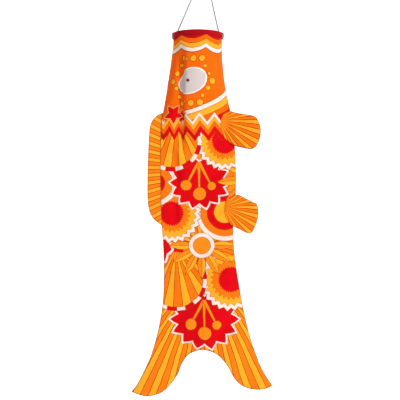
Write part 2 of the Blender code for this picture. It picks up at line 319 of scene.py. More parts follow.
ORANGE = srgb(247, 98, 5)
MID_ORANGE = srgb(250, 114, 13)
YELLOW = srgb(251, 164, 35)
RED = srgb(210, 0, 14)
DEEP_RED = srgb(188, 0, 16)
WHITE = srgb(240, 214, 201)
LINE = srgb(138, 56, 2)
AMBER = srgb(250, 133, 22)


def banded(bands, line=0.5):
    """Ramp stops for (outer edge, colour) bands from the middle out, with a thin dark line
    at each edge."""
    stops, at = [], 0.0
    for edge, colour in bands:
        stops.append((at, colour))
        if edge is not None:
            stops.append((edge - line, LINE))
            at = edge
    return stops


class Print:
    """The printed pattern, in print units: u towards the belly, v down the fish."""

    def __init__(self, net, u, v):
        self.n, self.u, self.v = net, u, v
        self.colour = ORANGE

    def over(self, mask, colour):
        self.colour = self.n.mix(mask, self.colour, colour)

    def polar(self, cu, cv, squash=1.0):
        du, dv = self.u - cu, self.v - cv
        if squash != 1.0:
            dv = dv * squash
        return self.n.length(du, dv), self.n.m("ARCTAN2", dv, du)

    def rays(self, cu, cv, count, first, second, line=0.3, shift=0.0):
        """(colour, r) of alternate rays about a point."""
        n = self.n
        r, a = self.polar(cu, cv)
        turn = n.m("MULTIPLY_ADD", a, count / (2 * math.pi), shift)
        edge = n.m("PINGPONG", turn, 0.5)  # 0 on an edge
        near = (edge * r) < n.low(r * 0.11, line * count / (2 * math.pi))
        other = n.fract(turn * 0.5) > 0.5
        return n.mix(near, n.mix(other, first, second), LINE), r

    def sunburst(self, cu, cv, radii, teeth, depth=3.3, below=None):
        """Bands with zigzag edges round a red disc with fine teeth."""
        n = self.n
        r, a = self.polar(cu, cv)
        spike = n.tri(a * (teeth / (2 * math.pi)))
        red, orange, yellow, white = radii
        s = n.m("MULTIPLY_ADD", spike, -depth, r)
        colours = n.ramp(
            s,
            banded(
                ((orange, MID_ORANGE), (yellow, YELLOW), (white, WHITE), (None, LINE)),
                0.46,
            ),
            white + 6.0,
        )
        shape = s < white + 0.3
        if below is not None:
            shape = shape * (self.v > below)
        self.over(shape, colours)
        fine = n.tri(a * (teeth * 1.25 / (2 * math.pi)))
        self.over(n.m("MULTIPLY_ADD", fine, -1.5, r) < red, RED)

    def rings(self, cu, cv, bands, below=None):
        r, _ = self.polar(cu, cv)
        edge = bands[-1][0]
        colours = self.n.ramp(r, banded(bands + ((None, WHITE),), 0.4), edge + 4.0)
        shape = r < edge
        if below is not None:
            shape = shape * (self.v > below)
        self.over(shape, colours)

    def flower(self, cu, cv, inner, outer, petals, half, shift=0.0):
        """Two-tone pointed petals about a point; half is a petal's half width."""
        n = self.n
        r, a = self.polar(cu, cv)
        turn = n.m("MULTIPLY_ADD", a, petals / (2 * math.pi), shift)
        side = (n.fract(turn) - 0.5) * r * (2 * math.pi / petals)
        along = (r - inner) / (outer - inner)
        wide = n.m("SINE", n.m("MINIMUM", n.m("MAXIMUM", along, 0.0), 1.0) * math.pi)
        edge = n.m("MULTIPLY_ADD", wide, half, -0.1) - abs(side)
        line = n.high(edge < 0.45, abs(side) < 0.22)
        two = n.mix(side > 0.0, YELLOW, AMBER)
        self.over(edge > 0.0, n.mix(line, two, LINE))

    def fan(self, apex, centre, inner, outer, count, blocks, turned, shift=0.0,
            below=None, right=None):
        """Rays from an apex, shut in by a ring of red and white blocks."""
        n = self.n
        r, a = self.polar(*centre)
        rayed, _ = self.rays(apex[0], apex[1], count, YELLOW, MID_ORANGE, shift=shift)
        self.over(r < inner, rayed)
        turn = n.m("MULTIPLY_ADD", a, blocks / (2 * math.pi), turned)
        edge = n.m("PINGPONG", turn, 0.5) * r * (2 * math.pi / blocks)
        block = n.mix(n.fract(turn * 0.5) > 0.5, RED, WHITE)
        side = n.low(abs(r - inner), abs(r - outer))
        line = n.low(edge, side) < 0.32
        ring = (r > inner) * (r < outer)
        if below is not None:
            block = n.mix(self.v > below, RED, block)
            ring = ring * n.high(self.v > below, self.u < -14.0)
        if right is not None:
            ring = ring * (self.u < right)
        self.over(ring, n.mix(line, block, LINE))

    def rosette(self, cu, cv, half_u, half_v, teeth, root, dots, depth=0.22, turned=0.0):
        """A red shape with a toothed white edge, and discs on stalks."""
        n = self.n
        r, a = self.polar(cu, cv, half_u / half_v)
        turn = n.m("MULTIPLY_ADD", a, teeth / (2 * math.pi), turned - teeth / 4.0)
        s = n.m("MULTIPLY_ADD", n.tri(turn), -depth * half_u, r)
        low = half_u * (1 - depth)
        self.over(s < low + 2.9, LINE)
        self.over(s < low + 2.5, WHITE)
        self.over(s < low, RED)
        for du, dv, size in dots:
            # the stalk: distance to the line from the root to the disc
            ax, ay = root
            bx, by = du - ax, dv - ay
            long = math.hypot(bx, by)
            bx, by = bx / long, by / long
            pu, pv = self.u - ax, self.v - ay
            t = n.m("MULTIPLY_ADD", pu, bx, pv * by)
            off = abs(n.m("MULTIPLY_ADD", pu, by, pv * (-bx)))
            wide = n.m("MULTIPLY_ADD", t, -0.03, 1.5)
            reach = (t > 0.0) * (t < long)
            self.over((off < wide + 0.35) * reach, LINE)
            self.over((off < wide) * reach, AMBER)
            r2 = n.length(self.u - du, self.v - dv)
            self.over(r2 < size + 0.35, LINE)
            self.over(r2 < size, AMBER)

    def star(self, cu, cv, size, points=5, shift=0.25):
        n = self.n
        r, a = self.polar(cu, cv)
        spike = n.tri(n.m("MULTIPLY_ADD", a, points / (2 * math.pi), shift))
        s = n.m("MULTIPLY_ADD", r * spike, 0.95, r)
        self.over(s < size + 2.5, LINE)
        self.over(s < size + 2.1, srgb(252, 172, 96))
        self.over(s < size + 0.7, LINE)
        self.over(s < size, RED)


def body_print(net, u, v):
    """The whole print of a flank. Returns a colour socket."""
    n = net
    p = Print(net, u, v)
    # the tail's rays, and the ground that shows between the larger figures
    rayed, _ = p.rays(7.2, 228.6, 124, YELLOW, srgb(251, 120, 16), line=0.32)
    p.over(v > 250.0, rayed)
    ground, _ = p.rays(4.0, 212.0, 44, AMBER, MID_ORANGE, line=0.3)
    p.over((v > 96.0) * (v < 258.0), ground)
    p.rosette(
        6.8,
        285.6,
        34.4,
        29.6,
        14,
        (6.2, 266.0),
        ((-6.7, 290.3, 5.5), (7.0, 298.8, 6.2), (18.9, 290.7, 4.3)),
    )
    p.sunburst(33.2, 246.0, (11.8, 17.0, 23.4, 28.2), 24, below=223.0)
    p.fan((-21.5, 215.0), (-22.3, 245.7), 27.6, 31.8, 38, 20, 1.111, 0.2,
          below=224.0)
    # a small toothed corner on the back seam
    p.rosette(-41.0, 212.0, 15.5, 18.0, 8, (-60.0, 217.0), (), turned=0.218)
    p.flower(4.3, 211.7, 5.0, 34.5, 12, 4.3, 0.5)
    p.rings(27.3, 178.7, ((11.0, YELLOW), (17.8, RED), (24.0, MID_ORANGE), (29.0, WHITE)), 158.0)
    p.sunburst(-25.6, 180.0, (11.4, 16.0, 22.2, 26.8), 24)
    p.rings(4.3, 211.7, ((8.7, AMBER), (12.9, WHITE)))
    p.rings(-42.5, 150.0, ((10.0, RED), (17.6, MID_ORANGE), (22.6, WHITE)))
    p.rosette(
        2.0,
        149.0,
        30.0,
        26.0,
        14,
        (1.4, 128.0),
        ((-11.0, 151.4, 5.1), (2.2, 160.0, 6.2), (14.2, 152.4, 4.0)),
    )
    p.flower(54.5, 146.0, 8.0, 36.0, 10, 4.6, 0.62)
    p.sunburst(27.4, 107.6, (11.8, 15.8, 21.8, 26.4), 24)
    p.fan((-21.0, 84.0), (-27.0, 106.2), 27.2, 31.8, 37, 20, 1.444, 0.1, right=3.8)

    # the head above its zigzag border
    close = n.low(n.high(-11.0 - u, 0.0), 19.0)
    wave = n.tri(
        n.m("MULTIPLY_ADD", u - close * 0.5, 1 / 13.9, -(4.9 - 13.9 / 2) / 13.9)
    )
    s = n.m("MULTIPLY_ADD", wave, 9.0, v) - 88.6
    p.over(s < 0.0, ORANGE)
    gill = n.length(u + 45.0, v + 55.0)
    bands = n.ramp(
        gill - 130.0,
        banded(
            (
                (8.0, ORANGE),
                (12.4, WHITE),
                (18.2, YELLOW),
                (23.4, ORANGE),
                (None, RED),
            ),
            0.5,
        ),
        40.0,
    )
    p.over((gill > 137.5) * (s < 0.0) * (u > -11.5), bands)
    bands = n.ramp(
        s,
        banded(((4.0, WHITE), (8.4, YELLOW), (13.2, ORANGE), (18.6, RED), (None, LINE))),
        24.0,
    )
    p.over((s > 0.0) * (s < 18.9), bands)
    p.over((s > -0.45) * (s < 0.0) * (u > -15.0), LINE)
    p.over((s > -0.5) * (s < 3.5) * (u < -15.0) * (u > -33.0), ORANGE)
    p.star(-15.0, 83.2, 5.8, 5, 0.35)
    p.star(-24.4, 81.2, 9.0, 5, 0.8)

    # scalloped bands under the hem
    f = n.fract(n.m("MULTIPLY_ADD", u, 1 / 26.5, -8.8 / 26.5))
    sag = (1.0 - f) * f * (4 * 4.6)
    s = v - sag
    bands = n.ramp(
        s,
        banded(
            ((4.3, DEEP_RED), (8.9, ORANGE), (13.2, YELLOW), (17.5, WHITE), (None, LINE))
        ),
        24.0,
    )
    p.over(s < 17.95, bands)

    # the eye, and a ring of dots round it
    cu, cv, hu, hv = -4.1, 49.4, 15.9, 13.0
    du, dv = u - cu, v - cv
    egg = n.length(n.m("MULTIPLY_ADD", dv, 0.24, du), dv * (hu / hv))
    p.over(egg < hu + 0.5, LINE)
    p.over(egg < hu, srgb(246, 226, 214))
    p.over(egg < hu - 1.3, srgb(203, 190, 187))
    p.over(n.length(u + 6.4, v - 49.0) < 1.5, srgb(110, 10, 20))
    dots = None
    for turned, out, size in EYE_DOTS:
        a = math.radians(turned)
        d = (
            n.length(
                u - (cu + 1.05 * out * math.cos(a)), v - (cv + 1.02 * out * math.sin(a))
            )
            - size
        )
        dots = d if dots is None else n.low(dots, d)
    p.over(dots < 0.55, LINE)
    p.over(dots < 0.0, YELLOW)
    return p.colour


# round the eye: where in degrees, how far out, how big
EYE_DOTS = (
    (0, 20.6, 2.9),
    (22, 17.8, 2.3),
    (50, 17.8, 1.7),
    (66, 22.3, 2.9),
    (88, 20.8, 2.8),
    (105, 20.2, 1.3),
    (117, 23.6, 2.3),
    (133, 20.2, 2.0),
    (158, 18.6, 1.9),
    (179, 21.4, 2.7),
    (203, 18.8, 2.4),
    (228, 20.6, 2.0),
    (243, 24.4, 2.5),
    (257, 21.0, 1.5),
    (275, 21.0, 2.9),
    (295, 23.2, 2.9),
    (313, 19.2, 1.7),
    (338, 18.6, 1.6),
)


def fin_print(net, u, v, centre, count, line=0.34, shift=0.0, tones=None):
    p = Print(net, u, v)
    light, dark = tones or (srgb(251, 156, 31), srgb(247, 106, 11))
    rayed, r = p.rays(centre[0], centre[1], count, light, dark, line=line, shift=shift)
    return rayed


# ------------------------------------------------------------------ materials
def cloth_material(name, pattern, reverse=False, roughness=0.88):
    """Printed plain-weave cloth. pattern makes the colour from the flat cloth's own places."""
    m = bpy.data.materials.new(name)
    m.use_nodes = True
    tree = m.node_tree
    net = Net(tree)
    shader = tree.nodes["Principled BSDF"]
    uv = net.node("ShaderNodeUVMap", uv_map="Cut")
    parts = net.node("ShaderNodeSeparateXYZ")
    tree.links.new(uv.outputs[0], parts.inputs[0])
    # the drawn edges waver a little, as hand-cut printing screens do
    wobble = net.node("ShaderNodeTexNoise")
    wobble.inputs["Scale"].default_value = 42.0
    wobble.inputs["Detail"].default_value = 1.0
    tree.links.new(uv.outputs[0], wobble.inputs["Vector"])
    w = V(net, wobble.outputs["Fac"]) - 0.5
    u = net.m("MULTIPLY_ADD", V(net, parts.outputs[0]), 1000.0 / UNIT, w * 0.9)
    v = net.m("MULTIPLY_ADD", V(net, parts.outputs[1]), 1000.0 / UNIT, w * 0.7)
    colour = pattern(net, u, v)
    # ink that took unevenly, and the threads showing in it
    ink = net.node("ShaderNodeTexNoise")
    ink.inputs["Scale"].default_value = 26.0
    ink.inputs["Detail"].default_value = 4.0
    tree.links.new(uv.outputs[0], ink.inputs["Vector"])
    warp = net.m("SINE", V(net, parts.outputs[0]) * (2 * math.pi / 0.0011))
    weft = net.m("SINE", V(net, parts.outputs[1]) * (2 * math.pi / 0.0011))
    weave = warp * weft
    tone = net.m("MULTIPLY_ADD", V(net, ink.outputs["Fac"]), 0.14, 0.92)
    tone = net.m("MULTIPLY_ADD", weave, 0.035, tone)
    hsv = net.node("ShaderNodeHueSaturation")
    net.put(tone, hsv.inputs["Value"])
    net.put(colour, hsv.inputs["Color"])
    colour = hsv.outputs[0]
    if reverse:
        colour = net.mix(0.34, colour, srgb(250, 224, 190))
    tree.links.new(colour, shader.inputs["Base Color"])
    rough = net.m("MULTIPLY_ADD", V(net, ink.outputs["Fac"]), 0.14, roughness - 0.07)
    net.put(rough, shader.inputs["Roughness"])
    bump = net.node("ShaderNodeBump")
    bump.inputs["Strength"].default_value = 0.35
    bump.inputs["Distance"].default_value = 0.0004
    crease = net.node("ShaderNodeTexNoise")
    crease.inputs["Scale"].default_value = 90.0
    crease.inputs["Detail"].default_value = 3.0
    tree.links.new(uv.outputs[0], crease.inputs["Vector"])
    height = net.m("MULTIPLY_ADD", V(net, crease.outputs["Fac"]), 1.6, weave * 0.5)
    net.put(height, bump.inputs["Height"])
    tree.links.new(bump.outputs[0], shader.inputs["Normal"])
    shader.inputs["Sheen Weight"].default_value = 0.02
    shader.inputs["Sheen Roughness"].default_value = 0.5
    shader.inputs["Specular IOR Level"].default_value = 0.08
    return m


def thread_material(name, colour, dark, pitch=900.0, roughness=0.8):
    """Twisted or rolled plain-coloured textile, read from the object's own place."""
    m = bpy.data.materials.new(name)
    m.use_nodes = True
    tree = m.node_tree
    net = Net(tree)
    shader = tree.nodes["Principled BSDF"]
    where = net.node("ShaderNodeTexCoord")
    fine = net.node("ShaderNodeTexNoise")
    fine.inputs["Scale"].default_value = pitch
    fine.inputs["Detail"].default_value = 2.0
    tree.links.new(where.outputs["Object"], fine.inputs["Vector"])
    broad = net.node("ShaderNodeTexNoise")
    broad.inputs["Scale"].default_value = 34.0
    broad.inputs["Detail"].default_value = 3.0
    tree.links.new(where.outputs["Object"], broad.inputs["Vector"])
    both = net.m(
        "MULTIPLY_ADD", V(net, fine.outputs["Fac"]), 0.55, V(net, broad.outputs["Fac"]) * 0.6
    )
    colour = net.mix(net.m("MULTIPLY_ADD", both, 1.3, -0.2), dark, colour)
    tree.links.new(colour, shader.inputs["Base Color"])
    bump = net.node("ShaderNodeBump")
    bump.inputs["Strength"].default_value = 0.4
    bump.inputs["Distance"].default_value = 0.0005
    tree.links.new(fine.outputs["Fac"], bump.inputs["Height"])
    tree.links.new(bump.outputs[0], shader.inputs["Normal"])
    shader.inputs["Roughness"].default_value = roughness
    shader.inputs["Sheen Weight"].default_value = 0.03
    shader.inputs["Specular IOR Level"].default_value = 0.1
    return m


PRINT = cloth_material("printed_cloth", body_print)
PRINT_BACK = cloth_material("printed_cloth_reverse", body_print, reverse=True)
PECTORAL = cloth_material(
    "pectoral_cloth", lambda n, u, v: fin_print(n, u, v, (21.2, 87.6), 54, shift=0.15)
)
PELVIC = cloth_material(
    "pelvic_cloth", lambda n, u, v: fin_print(
        n, u, v, (25.6, 173.6), 50, shift=0.4, tones=(srgb(251, 158, 32), srgb(248, 113, 14))
    )
)
DORSAL = cloth_material(
    "dorsal_cloth", lambda n, u, v: fin_print(
        n, u, v, (36.0, 136.0), 136, line=0.28, tones=(srgb(251, 160, 33), srgb(248, 122, 16))
    )
)
HEM = thread_material("hem_cloth", srgb(190, 0, 16), srgb(124, 0, 6), 700.0)
CORD = thread_material("cord_cotton", srgb(160, 152, 147), srgb(122, 114, 108), 1500.0)
EDGE = thread_material("edge_thread", srgb(176, 84, 10), srgb(120, 50, 2), 1500.0)
END_EDGE = thread_material("end_edge_thread", srgb(124, 54, 10), srgb(84, 32, 2), 1500.0)
LOOP = thread_material("hem_loop", srgb(176, 0, 20), srgb(112, 0, 10), 1500.0)
RED_THREAD = thread_material("red_thread", srgb(150, 0, 20), srgb(90, 0, 10), 1500.0)


def hard_material(name, colour, dark, roughness, metallic):
    m = bpy.data.materials.new(name)
    m.use_nodes = True
    tree = m.node_tree
    net = Net(tree)
    shader = tree.nodes["Principled BSDF"]
    where = net.node("ShaderNodeTexCoord")
    n1 = net.node("ShaderNodeTexNoise")
    n1.inputs["Scale"].default_value = 180.0
    n1.inputs["Detail"].default_value = 4.0
    tree.links.new(where.outputs["Object"], n1.inputs["Vector"])
    tree.links.new(
        net.mix(V(net, n1.outputs["Fac"]), dark, colour), shader.inputs["Base Color"]
    )
    net.put(
        net.m("MULTIPLY_ADD", V(net, n1.outputs["Fac"]), 0.2, roughness - 0.1),
        shader.inputs["Roughness"],
    )
    shader.inputs["Metallic"].default_value = metallic
    return m


HOOP = hard_material(
    "hoop_rod", srgb(232, 228, 214), srgb(206, 200, 182), 0.42, 0.0
)
FERRULE = hard_material(
    "ferrule_metal", srgb(206, 208, 212), srgb(170, 172, 178), 0.32, 1.0
)


# ------------------------------------------------------------------ mesh helpers
def linked(obj):
    sc.collection.objects.link(obj)
    return obj


def mesh_object(name, points, faces, uv=None, materials=()):
    """points in metres; uv is one pair for each point."""
    data = bpy.data.meshes.new(name)
    data.from_pydata([tuple(p) for p in points], [], [tuple(f) for f in faces])
    if uv is not None:
        layer = data.uv_layers.new(name="Cut")
        index = np.empty(len(data.loops), int)
        data.loops.foreach_get("vertex_index", index)
        layer.data.foreach_set("uv", np.asarray(uv, float)[index].ravel())
    for m in materials:
        data.materials.append(m)
    data.shade_smooth()
    data.update()
    return linked(bpy.data.objects.new(name, data))


def grid_faces(rows, columns, flip=False, wrap_columns=False, wrap_rows=False):
    r = np.arange(rows if wrap_rows else rows - 1)
    c = np.arange(columns if wrap_columns else columns - 1)
    i, j = np.meshgrid(r, c, indexing="ij")
    i2, j2 = (i + 1) % rows, (j + 1) % columns
    quads = np.stack(
        [i * columns + j, i2 * columns + j, i2 * columns + j2, i * columns + j2], -1
    ).reshape(-1, 4)
    return quads[:, ::-1] if flip else quads


def applied(obj):
    """The object with its modifiers made part of its mesh."""
    bpy.context.view_layer.update()
    dg = bpy.context.evaluated_depsgraph_get()
    data = bpy.data.meshes.new_from_object(
        obj.evaluated_get(dg), preserve_all_data_layers=True, depsgraph=dg
    )
    old = obj.data
    obj.modifiers.clear()
    obj.data = data
    data.name = obj.name
    if old.users == 0:
        bpy.data.meshes.remove(old)
    return obj


def thicken(obj, thickness, back=1, offset=-1.0):
    m = obj.modifiers.new("cloth", "SOLIDIFY")
    m.thickness = thickness * MM
    m.offset = offset
    m.material_offset = back
    m.material_offset_rim = 0
    return applied(obj)


def tube_mesh(name, line, radius, sides, materials, lobes=0, twist=0.0, closed=False,
              depth=0.16, caps=True):
    """A tube along points in metres. lobes and twist give it a laid rope's section."""
    line = np.asarray(line, float)
    n = len(line)
    if closed:
        tangent = np.roll(line, -1, 0) - np.roll(line, 1, 0)
    else:
        tangent = np.gradient(line, axis=0)
    tangent /= np.linalg.norm(tangent, axis=1)[:, None]
    normal = np.empty_like(line)
    first = np.cross(tangent[0], (0.0, 1.0, 0.0))
    if np.linalg.norm(first) < 1e-3:
        first = np.cross(tangent[0], (1.0, 0.0, 0.0))
    normal[0] = first / np.linalg.norm(first)
    for i in range(1, n):
        v = normal[i - 1] - tangent[i] * (normal[i - 1] @ tangent[i])
        normal[i] = v / np.linalg.norm(v)
    slip = 0.0
    if closed:
        v = normal[-1] - tangent[0] * (normal[-1] @ tangent[0])
        v /= np.linalg.norm(v)
        slip = math.atan2(np.cross(normal[0], v) @ tangent[0], normal[0] @ v)
    other = np.cross(tangent, normal)
    run = run_of(np.vstack([line, line[:1]]) if closed else line)
    total = run[-1]
    if closed and twist:
        twist = round(twist * total * lobes / (2 * math.pi)) * 2 * math.pi / (total * lobes)
    run = run[:n]
    a = np.linspace(0, 2 * math.pi, sides, endpoint=False)[None, :]
    radius = np.broadcast_to(np.asarray(radius, float), (n,))[:, None]
    spin = (twist * run)[:, None]
    r = radius * (
        1 - (depth * (1 - np.abs(np.cos(lobes / 2 * (a - spin)))) if lobes else 0.0)
    )
    turn = a - (slip * run / total)[:, None]
    points = (
        line[:, None, :]
        + normal[:, None, :] * (r * np.cos(turn))[..., None]
        + other[:, None, :] * (r * np.sin(turn))[..., None]
    ).reshape(-1, 3)
    faces = [tuple(f) for f in grid_faces(n, sides, False, True, closed)]
    if not closed and caps:
        faces.append(tuple(range(sides))[::1])
        faces.append(tuple((n - 1) * sides + k for k in range(sides))[::-1])
    obj = mesh_object(name, points, faces, None, materials)
    bm = bmesh.new()
    bm.from_mesh(obj.data)
    bmesh.ops.recalc_face_normals(bm, faces=bm.faces)
    bm.to_mesh(obj.data)
    bm.free()
    return obj


def joined(name, objects, materials, which=None):
    """One mesh object from several; which gives each one's place in the material list."""
    bm = bmesh.new()
    for k, o in enumerate(objects):
        if which:
            o.data.polygons.foreach_set("material_index", [which[k]] * len(o.data.polygons))
        bm.from_mesh(o.data)
        bpy.data.objects.remove(o, do_unlink=True)
    data = bpy.data.meshes.new(name)
    bm.to_mesh(data)
    bm.free()
    for m in materials:
        data.materials.append(m)
    data.shade_smooth()
    return linked(bpy.data.objects.new(name, data))


def fbm(points, scale, seed=0.0, octaves=3):
    """Smooth noise from -1 to 1 at an array of points, in any units."""
    total = np.zeros(len(points))
    gain = 1.0
    for k in range(octaves):
        s = scale * 2**k
        total += gain * np.array(
            [
                noise.noise(Vector((p[0] * s + seed, p[1] * s - seed, seed * 1.7 + k)))
                for p in points
            ]
        )
        gain *= 0.5
    return total


# ------------------------------------------------------------------ the hanging cloth
def sway(x, d):
    """How far the flat part of the streamer stands from its middle plane, in millimetres:
    soft upright waves, more of them towards the forked end."""
    x, d = np.asarray(x, float), np.asarray(d, float)
    low = smooth(250, 520, d)
    tail = smooth(700, 900, d)
    return (
        low * 2.6 * np.sin(x / 33.0 + 0.7 + d / 420.0)
        + low * 1.5 * np.sin(x / 17.0 - 1.1 - d / 260.0) * (1 - 0.5 * tail)
        + tail * 4.6 * np.sin(x / 29.0 + 1.9 - d / 150.0)
        + tail * 2.0 * np.sin(x / 13.5 + 0.4 + d / 90.0)
    )


def valley(x, d, side):
    """How far a flank is pushed in at its upright fold."""
    if side > 0:
        deep = 5.0 * smooth(70, 150, d) * (1 - smooth(240, 340, d))
        t = (x - 22.0 - d * 0.03) / 18.0
        return deep * np.exp(-t * t)
    deep = 18.0 * smooth(34, 84, d) * (1 - smooth(210, 345, d))
    at = -42.5 + 1.6 * np.sin(d / 46.0)
    wide = np.where(x > at, 5.8, 15.0)
    t = (x - at) / wide
    lower = 5.0 * smooth(240, 400, d) * (1 - smooth(520, 640, d))
    q = (x + 62.0) / np.where(x > -62.0, 8.0, 20.0)
    return deep * np.exp(-t * t) + lower * np.exp(-q * q)


def section(d, side, count):
    """A flank's section at one height: count + 1 points (x, out), evenly spaced along the
    cloth, and the flat cloth's own x for each."""
    back, belly, deep = (float(f(d)) for f in (back_side, belly_side, half_depth))
    rounded = min(1.0, deep / TUBE_R * 2.2)
    a = np.linspace(0, math.pi, 361)
    along = rounded * -np.cos(a) + (1 - rounded) * (2 * a / math.pi - 1)
    out = np.sqrt(np.clip(1 - along**2, 0, 1)) * rounded + (1 - along**2) * (1 - rounded)
    x = (back + belly) / 2 + (belly - back) / 2 * along
    y = SEAM_GAP + (deep - SEAM_GAP) * out
    y = y - valley(x, d, side) * np.clip(1 - np.abs(along) ** 6, 0, 1)
    line = respaced(np.stack([x, y], 1), count)
    wide = belly - back
    flat_half = (1 - smooth(300, 420, d)) * 103.6 + smooth(300, 420, d) * wide / 2
    flat_mid = (1 - smooth(230, 420, d)) * 0.3 + smooth(230, 420, d) * (back + belly) / 2
    cut = flat_mid + flat_half * np.linspace(-1, 1, count + 1)
    return line[:, 0], line[:, 1], cut


TAIL_LINE = curve_through(TAIL_END, 12)
TAIL_RUN = run_of(TAIL_LINE)


def tail_rows(side, top_x, count_rows, shares):
    """(x, d, out) rows from the upper edge of the tail to the forked end."""
    at = shares * TAIL_RUN[-1]
    end_x = np.interp(at, TAIL_RUN, TAIL_LINE[:, 0])
    end_d = np.interp(at, TAIL_RUN, TAIL_LINE[:, 1])
    top = FLEX_LOWER_D
    rows = []
    for i in range(1, count_rows + 1):
        t = i / count_rows
        x = top_x + (end_x - top_x) * t
        d = top + (end_d - top) * t
        for side_of, tip_d, near in (
            (back_side, TAIL_BACK_TIP_D, 1 - shares),
            (belly_side, TAIL_BELLY_TIP_D, shares),
        ):
            side_d = top + (tip_d - top) * t
            bow = float(side_of(side_d)) - (
                float(side_of(top)) + (float(side_of(tip_d)) - float(side_of(top))) * t
            )
            x = x + bow * near**1.5 - (3.2 * math.sin(math.pi * t) ** 2 * near**4 if near is shares else 0.0)
        deep = float(half_depth(top + (TAIL_BELLY_TIP_D - top) * t))
        along = 2 * shares - 1
        out = SEAM_GAP + (deep - SEAM_GAP) * (1 - along**2)
        rows.append((x, d, out))
    return rows


def flank_grid(side, step, columns):
    """The whole flank as arrays over rows and columns: x, d, y and the cut's own place."""
    shares = np.linspace(0, 1, columns + 1)
    ds = np.linspace(8.0, FLEX_LOWER_D, int((FLEX_LOWER_D - 8.0) / step) + 1)
    ds[np.argmin(np.abs(ds - SPLIT_D))] = SPLIT_D
    xs, dd, outs, cuts = [], [], [], []
    for d in ds:
        x, out, cut = section(d, side, columns)
        xs.append(x)
        dd.append(np.full(columns + 1, d))
        outs.append(out)
        cuts.append(np.stack([cut, np.full(columns + 1, d)], 1))
    for x, d, out in tail_rows(side, xs[-1], int(250.0 / step), shares):
        xs.append(x)
        dd.append(d)
        outs.append(out)
        cuts.append(np.stack([x, d], 1))
    x, d, out, cut = (np.array(v) for v in (xs, dd, outs, cuts))
    y = side * out + sway(x, d)
    return ds, x, d, y, cut, shares


def puckers(x, d, shares, side):
    """Small gathers along the seams and the hem, and slight creases in the cloth."""
    from_seam = np.minimum(shares, 1 - shares)[None, :] * 207.0
    flat = np.stack([x.ravel(), d.ravel()], 1)
    broad = fbm(flat * np.array([1.0, 0.42]), 1 / 58.0, 3.1 * side + 11.0, 2).reshape(x.shape)
    seam = fbm(
        np.stack([flat[:, 0] * 0.25, flat[:, 1]], 1), 1 / 9.0, 7.7 * side + 40.0, 2
    ).reshape(x.shape)
    top = fbm(
        np.stack([flat[:, 0], flat[:, 1] * 0.22], 1), 1 / 11.0, 5.0 * side + 70.0, 2
    ).reshape(x.shape)
    rise = smooth(14, 90, d)
    return (
        broad * 1.5 * rise * smooth(0, 26, from_seam)
        + seam * 1.0 * np.exp(-from_seam / 7.0) * rise
        + top * 0.8 * np.exp(-(d - 12.0) / 16.0) * smooth(9, 15, d)
    )


def normals_of(x, y, d):
    """Outward unit normals of a row-by-column surface in fish millimetres (x, y, -d)."""
    p = np.stack([x, y, -d], -1)
    du, dv = np.gradient(p, axis=1), np.gradient(p, axis=0)
    n = np.cross(du, dv)
    return n / np.maximum(np.linalg.norm(n, axis=-1, keepdims=True), 1e-9)


def settled(points, pins, extra, frames, bending, name):
    """Cloth simulation of a pinned grid of points in metres, cut a little larger than the
    space that it hangs in. Returns where each point ends."""
    rows, columns = pins.shape
    obj = mesh_object(name, points.reshape(-1, 3), grid_faces(rows, columns))
    group = obj.vertex_groups.new(name="sewn")
    for i, w in enumerate(pins.ravel()):
        if w > 0:
            group.add([i], float(w), "REPLACE")
    cloth_mod = obj.modifiers.new("cloth", "CLOTH")
    c = cloth_mod.settings
    c.quality = 7
    c.mass = 0.12
    c.air_damping = 2.5
    c.tension_stiffness = c.compression_stiffness = 40.0
    c.shear_stiffness = 12.0
    c.bending_stiffness = bending
    c.tension_damping = c.compression_damping = c.shear_damping = 8.0
    c.bending_damping = 0.8
    c.vertex_group_mass = "sewn"
    c.pin_stiffness = 2.0
    c.shrink_min = -extra
    c.effector_weights.gravity = 0.2
    cloth_mod.collision_settings.use_collision = False
    cloth_mod.point_cache.frame_start = 1
    cloth_mod.point_cache.frame_end = frames
    for f in range(1, frames + 1):
        sc.frame_set(f)
    dg = bpy.context.evaluated_depsgraph_get()
    got = obj.evaluated_get(dg).to_mesh()
    co = np.empty(len(got.vertices) * 3)
    got.vertices.foreach_get("co", co)
    bpy.data.objects.remove(obj, do_unlink=True)
    sc.frame_set(1)
    return co.reshape(rows, columns, 3)


def spread_out(coarse, rows, columns, row_at, column_at):
    """A coarse grid's values, drawn out smoothly over the fine grid."""
    tall = np.empty((rows, coarse.shape[1], coarse.shape[2]))
    fine = np.empty((rows, columns, coarse.shape[2]))
    for k in range(coarse.shape[2]):
        for j in range(coarse.shape[1]):
            tall[:, j, k] = np.interp(np.arange(rows), row_at, coarse[:, j, k])
        for i in range(rows):
            fine[i, :, k] = np.interp(np.arange(columns), column_at, tall[i, :, k])
    for _ in range(2):
        fine[1:-1] = (fine[:-2] + 2 * fine[1:-1] + fine[2:]) / 4
        fine[:, 1:-1] = (fine[:, :-2] + 2 * fine[:, 1:-1] + fine[:, 2:]) / 4
    return fine


